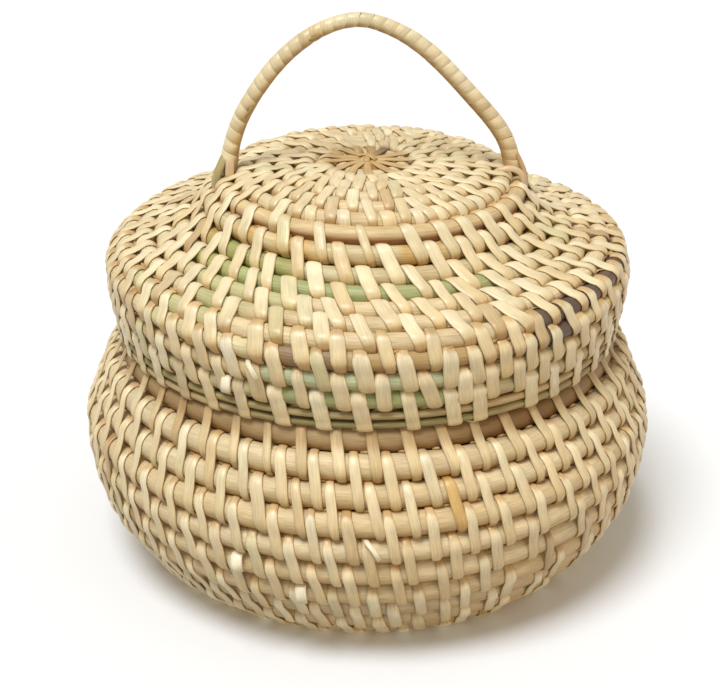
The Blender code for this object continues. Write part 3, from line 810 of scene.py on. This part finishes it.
def scaled_noise(nodes, links, grain, scale, detail):
    mapping = nodes.new("ShaderNodeMapping")
    set_inputs(mapping, {"Scale": scale})
    links.new(grain.outputs["Vector"], mapping.inputs["Vector"])
    noise = nodes.new("ShaderNodeTexNoise")
    set_inputs(noise, {"Scale": 1.0, "Detail": detail})
    links.new(mapping.outputs["Vector"], noise.inputs["Vector"])
    return noise


def ranged(nodes, links, noise, low, high):
    """The noise, spread from a low to a high value."""
    spread = nodes.new("ShaderNodeMapRange")
    set_inputs(spread, {"From Min": 0.3, "From Max": 0.7, "To Min": low, "To Max": high})
    links.new(noise.outputs["Fac"], spread.inputs["Value"])
    return spread.outputs["Result"]


def fibre_material(name, roughness, contrast, bump, coat=0.0):
    """Split cane: fibres run along it, finer across, over the tint of the mesh."""
    material = bpy.data.materials.new(name)
    material.use_nodes = True
    nodes = material.node_tree.nodes
    links = material.node_tree.links
    shader = nodes["Principled BSDF"]
    set_inputs(shader, {"Roughness": roughness, "Coat Weight": coat, "Coat Roughness": 0.35})
    tint = nodes.new("ShaderNodeAttribute")
    tint.attribute_name = "tint"
    grain = nodes.new("ShaderNodeAttribute")
    grain.attribute_name = "grain"
    fibres = scaled_noise(nodes, links, grain, scale=(3.2, 0.14, 1.0), detail=3.0)
    blotches = scaled_noise(nodes, links, grain, scale=(0.35, 0.16, 1.0), detail=2.0)
    both = nodes.new("ShaderNodeMath")
    both.operation = "MULTIPLY"
    links.new(ranged(nodes, links, fibres, 1 - contrast, 1 + contrast * 0.5), both.inputs[0])
    links.new(ranged(nodes, links, blotches, 0.9, 1.06), both.inputs[1])
    coloured = nodes.new("ShaderNodeVectorMath")
    coloured.operation = "SCALE"
    links.new(tint.outputs["Color"], coloured.inputs[0])
    links.new(both.outputs["Value"], coloured.inputs["Scale"])
    links.new(coloured.outputs["Vector"], shader.inputs["Base Color"])
    raised = nodes.new("ShaderNodeBump")
    set_inputs(raised, {"Strength": bump, "Distance": 0.0003})
    links.new(fibres.outputs["Fac"], raised.inputs["Height"])
    links.new(raised.outputs["Normal"], shader.inputs["Normal"])
    return material


def hoop_place(node):
    """(middle of a level hoop as (distance, height), its radius), from the model."""
    lowest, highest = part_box(node)
    radius = (highest.z - lowest.z) / 2
    return np.array((highest.x - radius, (highest.z + lowest.z) / 2)), radius


def start_face(outline, rows, side):
    """The level of a coil's outer face at its start. Side is 1 on the lid and -1 under the pot."""
    outer, inner = rows.edge(0.0), rows.edge(-1.0)
    radius = (outer - inner - TURN_GAP) / 2
    return outline.middle((outer + inner) / 2, radius)[1] + side * radius


def plan_pot():
    radius = (POT_PITCH - TURN_GAP) / 2
    loose = Outline(POT_OUTLINE, radius)
    seat_edge = loose.length_at_height(POT_FIRST_ROW_LEVEL)
    rows = Rows(loose, POT_PITCH, POT_START, seat_edge, [], -1)
    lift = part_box("pot_start_knot")[0].z - start_face(loose, rows, side=-1)
    seat, seat_radius = hoop_place("pot_seat_hoop")
    seat = seat - (STRIP_STAND + SEAT_SHADOW, SEAT_SWELL)
    hoops = [(seat, seat_radius + SEAT_SWELL)]
    outline = Outline(POT_OUTLINE, radius, lift)
    return Rows(outline, POT_PITCH, POT_START, seat_edge, hoops, -1)


def plan_lid():
    radius = (LID_PITCH - TURN_GAP) / 2
    loose = Outline(LID_OUTLINE, radius, upward=-1.0)
    last_edge = loose.length_at_height(0.0) - LID_PITCH
    rows = Rows(loose, LID_PITCH, LID_START, last_edge, [], 1)
    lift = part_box("lid_start_knot")[1].z - start_face(loose, rows, side=1)
    rims = [hoop_place(name) for name in ("lid_rim_upper_hoop", "lid_rim_lower_hoop")]
    hoops = [(place - (STRIP_STAND, 0), size) for place, size in rims]
    outline = Outline(LID_OUTLINE, radius, lift, upward=-1.0)
    made = Rows(outline, LID_PITCH, LID_START, last_edge, hoops, 1)
    made.lift = lift
    ridge_edge = outline.length_at_radius(LID_OUTLINE[RIDGE_FOOT][0])
    made.ridge_turn = round((ridge_edge - made.start) / made.pitch) - 1
    return made


def cut_ends(name, rows, spots, look):
    """Short ends of strips that come out of the gap above a row and stand off from it."""
    bundle = Bundle()
    for turn, width, reach in spots:
        middle, radius = rows.row(turn)
        above, _ = rows.row(turn - rows.down)
        up = unit(above - middle)
        out = np.array((up[1], -up[0]))
        top = radius + STRIP_STAND
        centres = [middle + up * top * rise + out * top * stand for rise, stand in CUT_END_COURSE]
        angles = angle_of(turn) + np.linspace(0, 1, len(centres)) * reach / middle[0]
        facing = spun([out * 0.5 + up * 0.85] * len(centres), angles)
        centres = spun(centres, angles)
        sweep_strip(bundle, centres, facing, width, STRIP_THICKNESS, STRIP_WHITE, turn)
    bundle.make(name, look)


def near_axis(places):
    """How far a place belongs to the brown middle of a star."""
    return (STAR_REACH - np.hypot(places[:, 0], places[:, 1])) / STAR_EDGE + 0.5


def near_seat(places):
    """How far a place lies in the painted shadow under the lid's rim."""
    place, radius = hoop_place("pot_seat_hoop")
    return (places[:, 2] - place[1]) / radius + SEAT_PAINTED_SHADOW_START


def marked_strips(pairs, odd):
    """The colours of odd strips, by the count of the strip that starts nearest."""
    starts = np.array([upper for upper, _ in pairs])
    marked = {}
    for turn, tint in odd:
        if len(starts) and starts.min() <= turn <= starts.max():
            marked[int(np.argmin(np.abs(starts - turn)))] = tint
    return marked


def bind(name, rows, pairs, widths, look, odd, short=(0.0, 0.0), darkening=None):
    """All the strips of one stretch of wall: the outer runs and the inner runs between them.
    Those that start between two given turns go over one row only."""
    outer, inner = Bundle(), Bundle()
    marked = marked_strips(pairs, odd)
    for i, (upper, lower) in enumerate(pairs):
        only = 0 if short[0] <= upper < short[1] else None
        rods = rows.rods(upper) + rows.rods(lower)
        if np.linalg.norm(rods[-1][0] - rods[0][0]) < MERGED_ROWS:
            rods = rods[:1] + rows.rods(lower + rows.down)
        first = angle_of(upper)
        last = first + shortest(angle_of(lower) - first)
        usual = read(widths, upper) * read(WIDTH_ROUND, from_front(upper))
        width = usual * rng.normal(1.0, WIDTH_SPREAD)
        tint = strip_tint()
        stitch(outer, rods, first, last, width, 1, marked.get(i, tint), only)
        if i + 1 < len(pairs):
            follow = last + shortest(angle_of(pairs[i + 1][0]) - last)
            stitch(inner, rods, follow, last, width, -1, strip_tint(INNER_LEVEL))
    # painted shadow under the lid's rim on the pot, darkening towards the star's middle on the lid
    if darkening:
        outer.darkening(*darkening)
    outer.make(name + "_stitches", look)
    inner.make(name + "_inner_stitches", look)


def add_camera():
    """The photograph's view: from the front, a little above."""
    elevation = math.radians(25.38)
    reach = 0.6027
    target = Vector((-0.00266, 0.0, 0.0701))
    camera = bpy.data.cameras.new("camera")
    camera.lens = 85.0
    camera.sensor_width = 36.0
    made = add_object("camera", camera)
    made.location = target + Vector((0, -math.cos(elevation), math.sin(elevation))) * reach
    made.rotation_euler = (math.pi / 2 - elevation, 0.0, 0.0)
    bpy.context.scene.camera = made


def add_light(name, kind, place, target):
    light = bpy.data.lights.new(name, kind)
    made = add_object(name, light)
    made.location = place
    made.rotation_euler = (Vector(target) - Vector(place)).to_track_quat("-Z", "Y").to_euler()
    return light


def add_studio():
    """An overhead light, a warm fill from the right, a pale world and a white floor."""
    middle = (0.0, 0.0, 0.07)
    key = add_light("key", "SUN", (-0.22, -0.30, 1.0), middle)
    key.energy = KEY_STRENGTH
    key.angle = KEY_SPREAD
    fill = add_light("fill", "AREA", (0.9, -0.8, 0.16), middle)
    fill.shape = "DISK"
    fill.size = 0.6
    fill.energy = FILL_POWER
    fill.color = FILL_COLOUR
    world = bpy.data.worlds.new("studio")
    world.use_nodes = True
    background = world.node_tree.nodes["Background"]
    set_inputs(background, {"Color": WORLD_COLOUR, "Strength": WORLD_STRENGTH})
    bpy.context.scene.world = world
    bpy.context.scene.view_settings.view_transform = "Standard"
    mesh = bpy.data.meshes.new("floor")
    size = 6.0
    corners = [(-size, -size, 0), (size, -size, 0), (size, size, 0), (-size, size, 0)]
    mesh.from_pydata(corners, [], [(0, 1, 2, 3)])
    floor = add_object("floor", mesh)
    material = bpy.data.materials.new("floor_white")
    material.use_nodes = True
    shader = material.node_tree.nodes["Principled BSDF"]
    set_inputs(shader, {"Base Color": FLOOR_COLOUR, "Roughness": 0.9})
    mesh.materials.append(material)
    floor.visible_diffuse = False


def build_pot(rows, strip, bare):
    tones = {"pot_cane_straw": ROD_CREAM * 0.95, "pot_cane_cream": ROD_CREAM}
    canes = [
        ("pot_base", 0, 4, "pot_cane_straw"),
        ("pot_foot", 4, 7, "pot_cane_cream"),
        ("pot_lower", 7, 10, "pot_cane_straw"),
        ("pot_belly", 10, 13, "pot_cane_cream"),
        ("pot_upper", 13, math.inf, "pot_cane_straw"),
    ]
    for name, first, last, slot in canes:
        coil_rod(name, rows, first, last, tones[slot], POT_ZONES, (bare, "pot", slot))
    look = (bare, "pot", "pot_cane_straw")
    # the seat rod's dark colour is painted shadow
    hoop_rod("pot_seat", *rows.hoops[0], ROD_SEAT_SHADED, look)
    for name in ("pot_collar", "pot_mouth"):
        hoop_rod(name, *hoop_place(name + "_hoop"), ROD_CREAM, look)
    top = rows.last_turn + CLIMB_SHARE / 2 + 1
    pairs = weave(rows, -top, -POT_INNERMOST, POT_SPACING, POT_LEAN, POT_OFFSET, POT_WIDTH)
    look = (strip, "pot", "pot_cane_cream")
    for name, first, last, _ in canes:
        chosen = [pair for pair in pairs if first <= pair[0] < last]
        # painted shadow under the lid's rim on the top row's strips
        darkening = (near_seat, SEAT_PAINTED_SHADOW) if name == "pot_upper" else None
        bind(name, rows, chosen, POT_WIDTH, look, POT_ODD_STRIPS, darkening=darkening)
    cut_ends("pot_cut_ends", rows, POT_CUT_ENDS, look)
    rays = [(i / STAR_RAYS, i / STAR_RAYS + 1) for i in range(STAR_RAYS)]
    build_star(rows, "pot_start", -1, rays, look)
    bind_mouth(look)


def bind_mouth(look):
    """Loops round the collar and the mouth together."""
    hoops = [hoop_place(name) for name in ("pot_mouth_hoop", "pot_collar_hoop")]
    rods = [(place, radius - LOOP_SINK) for place, radius in hoops]
    step = 2 * math.pi / MOUTH_LOOPS
    bundle = Bundle()
    for i in range(MOUTH_LOOPS):
        angle = 2 * math.pi * i / MOUTH_LOOPS
        tint = strip_tint()
        width = LOOP_WIDTH * rng.normal(1.0, LOOP_SPREAD)
        for side in (1, -1):
            stitch(bundle, rods, angle, angle + side * step * LOOP_LEAN, width, side, tint)
    bundle.make("pot_mouth_binding", look)


def build_lid(rows, strip, bare, olive):
    ridge = rows.ridge_turn
    tones = {
        "lid_cane_cream": ROD_CREAM,
        "lid_cane_ochre": ROD_YELLOW,
        "lid_cane_green": mix(ROD_CREAM, ROD_GREEN, 0.28),
    }
    canes = [
        ("lid_crown", 0, ridge, "lid_cane_cream"),
        ("lid_ridge", ridge, ridge + 1, "lid_cane_ochre"),
        ("lid_shoulder", ridge + 1, ridge + 4, "lid_cane_green"),
        ("lid_upper_side", ridge + 4, ridge + 7, "lid_cane_cream"),
        ("lid_lower_side", ridge + 7, math.inf, "lid_cane_green"),
    ]
    for name, first, last, slot in canes:
        # painted shadow under the ridge rod
        darkening = RIDGE_UNDERSIDE_SHADOW if name == "lid_ridge" else PLAIN_UNDERSIDE_SHADE
        coil_rod(name, rows, first, last, tones[slot], LID_ZONES, (bare, "lid", slot), darkening)
    for name, hoop in zip(("lid_rim_upper", "lid_rim_lower"), rows.hoops):
        hoop_rod(name, *hoop, ROD_OLIVE, (olive, "lid", "lid_rim_olive"), RIM_GROOVES)
    pairs = weave(rows, 0.0, rows.join, LID_SPACING, LID_LEAN, LID_OFFSET, LID_WIDTH, STAR_RAYS)
    rays = [pair for pair in pairs if pair[0] < 1]
    look = (strip, "lid", "lid_cane_cream")
    build_star(rows, "lid_start", 1, rays, look)
    short, darkening = (ridge - 1 + RIDGE_BARE, ridge), (near_axis, STAR_DARKENING)
    for name, first, last, _ in canes:
        chosen = [pair for pair in pairs if max(first, 1) <= pair[0] < last]
        bind(name, rows, chosen, LID_WIDTH, look, LID_ODD_STRIPS, short, darkening)
    cut_ends("lid_cut_ends", rows, LID_CUT_ENDS, look)


def build_star(rows, name, side, pairs, look):
    """Flat strips that run out from the middle over the first turns, a knot on them, and a dome
    under them. Side is 1 on the lid, which is seen from above, and -1 under the pot."""
    bundle = Bundle()
    middle, radius = rows.row(0.0)
    level = middle[1] + side * (radius + RAY_THICKNESS)
    for i, (upper, lower) in enumerate(pairs):
        first = angle_of(upper)
        last = first + shortest(angle_of(lower) - first)
        points, normals, shares = over([rows.row(upper), rows.row(lower)], side, top_reach=0.0)
        centre = [(RAY_START, level + side * RAY_STEP * (i % 3)), (RAY_REST, level)]
        points = np.vstack([centre, points])
        normals = np.vstack([[(0.0, side)] * len(centre), normals])
        shares = np.concatenate([[0.0] * len(centre), shares])
        angles = first + (last - first) * shares
        widths = np.interp(points[:, 0], *zip(*RAY_WIDTH))
        tint = mix(STRIP_BRIGHT, STRIP_STRAW, rng.uniform(0.0, 1.0))
        # painted shade on the rays, as on the other strips
        tints = shaded(tint, shares, normals[:, 1] * side)
        if side > 0 and abs(shortest(first - PURPLE_RAY)) < math.pi / len(pairs):
            near = np.exp(-(((points[:, 0] - PURPLE_PLACE) / PURPLE_REACH) ** 4))[:, None]
            tints = mix(tints, ROD_PURPLE * 1.3, near)
        sweep_strip(bundle, spun(points, angles), spun(normals, angles), widths, RAY_THICKNESS, tints, i)
    along = np.linspace(-1, 1, 9)[:, None]
    for i in range(KNOT_STRIPS):
        angle = math.radians(KNOT_FIRST + KNOT_TURN * i)
        flat = np.array((math.cos(angle), math.sin(angle), 0.0))
        arch = np.array((0.0, 0.0, side)) * (KNOT_RISE + KNOT_STEP * i - KNOT_FALL * along**2)
        centres = along * flat * KNOT_REACH + arch + (0.0, 0.0, level)
        outward = np.tile((0.0, 0.0, float(side)), (len(centres), 1)) + along * flat * 0.6
        sweep_strip(bundle, centres, outward, KNOT_WIDTH, RAY_THICKNESS, STRIP_STRAW, 40 + i)
    around = np.arange(ROD_SIDES) * 2 * math.pi / ROD_SIDES * side
    dome = []
    for angle in np.linspace(0.15, 1.45, 6):
        drop = STAR_PLUG * STAR_PLUG_RISE * (1 - math.sin(angle))
        place = (STAR_PLUG * math.cos(angle), level - side * drop)
        dome.append(spun([place] * ROD_SIDES, around))
    bundle.sweep(dome, STRIP_TAN, np.array(dome) * 1000)
    # darker towards the star's middle
    bundle.darkening(near_axis, STAR_DARKENING)
    bundle.make(name + "_rays", look, [name + "_star", name + "_knot"])


def free_strip(bundle, points, outward, width, tint, seed, thickness=STRIP_THICKNESS):
    """A strip through some points in the world, with the way it faces at its two ends."""
    centres = smooth_path(points, 5)
    share = np.linspace(0, 1, len(centres))[:, None]
    facing = mix(np.array(outward[0], float), np.array(outward[1], float), share)
    widths = width * (1 - 0.25 * np.clip(np.abs(share[:, 0] - 0.5) * 6 - 2.2, 0, 1))
    sweep_strip(bundle, centres, facing, widths, thickness, tint, seed)


def build_handle(rows, strip, bare):
    """The arch from the middle of the ridge rod on the left to that on the right."""
    ends = []
    for side in (-1, 1):
        angle = HANDLE_TURN + (0 if side > 0 else math.pi)
        part = (angle - START_ANGLE) / (2 * math.pi)
        turn = part + round(rows.ridge_turn + 0.5 - part)
        middle, _ = rows.row(turn)
        ends.append((side * middle[0], middle[1] - rows.lift))
    arch = smooth_path([ends[0], *HANDLE_PATH, ends[1]], OUTLINE_STEPS)
    flat = np.array((math.cos(HANDLE_TURN), math.sin(HANDLE_TURN), 0.0))
    side = np.array((-math.sin(HANDLE_TURN), math.cos(HANDLE_TURN), 0.0))
    centres = arch[:, :1] * flat + (arch[:, 1:] + rows.lift) * np.array((0.0, 0.0, 1.0))
    build_core(centres, side, bare)
    build_winding(centres, side, strip)
    for name, strands in HANDLE_STRANDS.items():
        bundle = Bundle()
        for i, (points, facing, width, tint) in enumerate(strands):
            free_strip(bundle, points, facing, width, tint, 70.0 + i, STRAND_THICKNESS)
        bundle.make(name + "_strands", (strip, "lid", "handle_strip"), [name])


def build_core(centres, side, bare):
    """The rod inside the winding, which shows at both ends."""
    lengths = distances(centres)
    steps = np.linspace(CORE_INSET, lengths[-1] - CORE_INSET, CORE_POINTS)
    from_end = np.minimum(steps, lengths[-1] - steps)
    near_end = np.clip((CORE_STAIN_REACH - from_end) / CORE_STAIN_EDGE, 0, 1)[:, None]
    tints = mix(ROD_YELLOW, ROD_OCHRE * 0.6, near_end)
    places = between(steps, lengths, centres)
    bundle = Bundle()
    rod(bundle, places, [CORE_RADIUS] * len(steps), tints, 5.0, level=side)
    bundle.make("handle_core", (bare, "lid", "handle_cane"), ["handle_rod"])


def build_winding(centres, side, strip):
    """One flat strip wound round the handle from end to end, and the loose ends on it."""
    lengths = distances(centres)
    start, end = WINDING_ENDS[0], lengths[-1] - WINDING_ENDS[1]
    count = int((end - start) / WINDING_PITCH * WINDING_STEPS)
    length = np.linspace(start, end, count)
    before, after = (between(length + step, lengths, centres) for step in (-0.0005, 0.0005))
    inward = np.cross(side, unit(after - before))
    turns = (length - start) / WINDING_PITCH
    spin = 2 * math.pi * turns
    outward = side * np.cos(spin)[:, None] + inward * np.sin(spin)[:, None]
    radius = np.interp(length / lengths[-1], *zip(*HANDLE_RADIUS)) - WINDING_THICKNESS / 2
    ridges = rng.normal(0, WINDING_ROUGHNESS, int(turns[-1]) + 3)
    radius = radius + np.interp(turns, np.arange(len(ridges)), ridges)
    places = between(length, lengths, centres) + outward * radius[:, None]
    tones = np.array([strip_tint(WINDING_LEVEL) for _ in ridges]) * HANDLE_TONE
    tints = between(turns, np.arange(len(tones)), tones)
    # painted shade on the winding's side that faces into the arch
    shade_share = np.clip(np.sum(outward * inward, axis=1) * 1.3 - 0.1, 0, 1)[:, None]
    tints = tints * mix(1.0, np.array(HANDLE_INSIDE_SHADE), shade_share)
    for place, reach, colour, share in HANDLE_MARKS:
        near = np.exp(-((np.linalg.norm(places - place, axis=1) / reach) ** 2))[:, None]
        tints = mix(tints, colour, near * share)
    width = WINDING_PITCH * WINDING_OVERLAP
    bundle = Bundle()
    sweep_strip(bundle, places, outward, width, WINDING_THICKNESS, tints, 3.0, FLAT_SECTION)
    for place, facing, along in HANDLE_BUMPS:
        middle, along = np.array(place), np.array(along)
        back = middle - along * BUMP_BACK - np.array(facing) * BUMP_SINK
        points = [back, middle, middle + along * BUMP_AHEAD]
        free_strip(bundle, points, (facing, facing), BUMP_WIDTH, ROD_OCHRE * 0.9, 60.0)
    bundle.make("handle_winding", (strip, "lid", "handle_strip"), ["handle_wrap"])


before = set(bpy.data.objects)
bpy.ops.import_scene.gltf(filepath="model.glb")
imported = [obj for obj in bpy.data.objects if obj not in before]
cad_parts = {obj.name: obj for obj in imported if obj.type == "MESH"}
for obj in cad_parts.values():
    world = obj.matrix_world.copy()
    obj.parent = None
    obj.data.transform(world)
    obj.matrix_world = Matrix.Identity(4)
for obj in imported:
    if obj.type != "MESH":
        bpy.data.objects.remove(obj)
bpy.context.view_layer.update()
add_camera()
add_studio()
strip = fibre_material("split_cane", 0.36, 0.16, 0.25, coat=0.15)
bare = fibre_material("bare_rod", 0.45, 0.22, 0.5)
olive = fibre_material("olive_rod", 0.42, 0.30, 0.7)
pot_rows = plan_pot()
lid_rows = plan_lid()
build_pot(pot_rows, strip, bare)
build_lid(lid_rows, strip, bare, olive)
build_handle(lid_rows, strip, bare)
